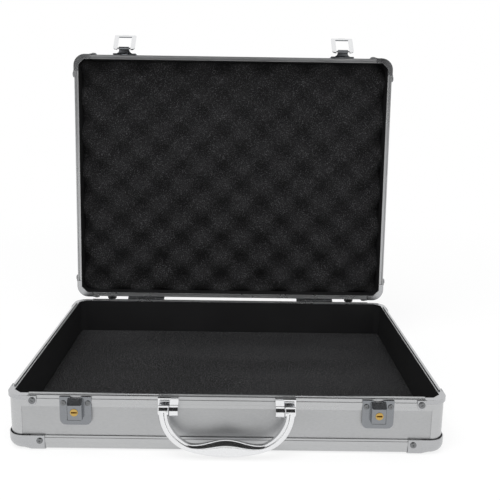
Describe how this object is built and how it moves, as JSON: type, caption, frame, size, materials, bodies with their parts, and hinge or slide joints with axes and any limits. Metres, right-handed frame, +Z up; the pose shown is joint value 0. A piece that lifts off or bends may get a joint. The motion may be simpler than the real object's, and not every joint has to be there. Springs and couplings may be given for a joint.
{
  "type": "aluminium tool case",
  "caption": "Shallow hard tool case with a foam-lined hinged lid, hasp latches with key locks, a bail handle, railed edges and cast corners.",
  "frame": {"origin": "on the ground plane, under the middle of the open case's bounding box", "axes": "+X along the front wall towards the right-hand latch, +Y from the front wall to the hinges, +Z up"},
  "size_m": [0.374, 0.3614, 0.3604],
  "materials": {
    "satin_aluminium": "fine brushed clear anodised sheet",
    "bright_aluminium": "polished extruded rail",
    "chrome_zinc": "bright chrome on zinc castings",
    "polished_steel": "nickelled steel screws, rivets, pins and hinge leaves",
    "brass": "plain machined brass",
    "black_lining": "matt black lining",
    "black_foam": "open-cell polyurethane foam, charcoal",
    "black_rubber": "moulded rubber"
  },
  "bodies": {
    "base": {"base_panel_bottom": "satin_aluminium", "base_panel_front": "satin_aluminium", "base_panel_right": "satin_aluminium", "base_panel_back": "satin_aluminium", "base_panel_left": "satin_aluminium", "base_rim_rails": "bright_aluminium", "base_edge_rails": "bright_aluminium", "base_corner_posts": "bright_aluminium", "base_rim_corners": "chrome_zinc", "base_corner_caps": "chrome_zinc", "base_screws": "polished_steel", "base_lining": "black_lining", "base_feet": "black_rubber", "base_floor_pad": "black_foam", "hinge_base_leaves": "polished_steel", "hinge_pins": "polished_steel", "lock_plates": "chrome_zinc", "handle_brackets": "chrome_zinc"},
    "lid": {"lid_panel_top": "satin_aluminium", "lid_panel_front": "satin_aluminium", "lid_panel_right": "satin_aluminium", "lid_panel_back": "satin_aluminium", "lid_panel_left": "satin_aluminium", "lid_rim_rails": "bright_aluminium", "lid_edge_rails": "bright_aluminium", "lid_corner_posts": "bright_aluminium", "lid_rim_corners": "chrome_zinc", "lid_corner_caps": "chrome_zinc", "lid_screws": "polished_steel", "lid_lining": "black_lining", "lid_feet": "black_rubber", "lid_egg_crate_foam": "black_foam", "hinge_lid_leaves": "polished_steel", "latch_brackets": "chrome_zinc"},
    "handle": {"handle": "chrome_zinc", "handle_pins": "polished_steel"},
    "latch_left": {"latch_left_frame": "chrome_zinc", "latch_left_pin": "polished_steel"},
    "key_left": {"lock_left_key_cylinder": "brass"},
    "bolt_left": {"lock_left_bolt": "polished_steel"},
    "latch_right": {"latch_right_frame": "chrome_zinc", "latch_right_pin": "polished_steel"},
    "key_right": {"lock_right_key_cylinder": "brass"},
    "bolt_right": {"lock_right_bolt": "polished_steel"}
  },
  "joints": [
    {"name": "lid_hinge", "type": "hinge", "parent": "base", "child": "lid", "pos_m": [0, 0.12491, 0.04975], "axis": [1, 0, 0], "range_deg": [0, 93.8]},
    {"name": "handle_swing", "type": "hinge", "parent": "base", "child": "handle", "pos_m": [0, -0.17139, 0.0411], "axis": [-1, 0, 0], "range_deg": [0, 87]},
    {"name": "latch_left_swing", "type": "hinge", "parent": "lid", "child": "latch_left", "pos_m": [-0.1263, 0.14334, 0.34448], "axis": [1, 0, 0], "range_deg": [0, 146.92]},
    {"name": "key_left_turn", "type": "hinge", "parent": "base", "child": "key_left", "pos_m": [-0.1263, -0.17039, 0.0376], "axis": [0, -1, 0], "range_deg": [0, 90]},
    {"name": "bolt_left_slide", "type": "slide", "parent": "base", "child": "bolt_left", "axis": [0, 0, -1], "range_m": [0, 0.0016]},
    {"name": "latch_right_swing", "type": "hinge", "parent": "lid", "child": "latch_right", "pos_m": [0.1263, 0.14334, 0.34448], "axis": [1, 0, 0], "range_deg": [0, 146.92]},
    {"name": "key_right_turn", "type": "hinge", "parent": "base", "child": "key_right", "pos_m": [0.1263, -0.17039, 0.0376], "axis": [0, -1, 0], "range_deg": [0, 90]},
    {"name": "bolt_right_slide", "type": "slide", "parent": "base", "child": "bolt_right", "axis": [0, 0, -1], "range_m": [0, 0.0016]}
  ],
  "couplings": [
    {"joint": "key_left_turn", "follows": "bolt_left_slide", "rad_per_m": 981.7},
    {"joint": "key_right_turn", "follows": "bolt_right_slide", "rad_per_m": 981.7}
  ]
}
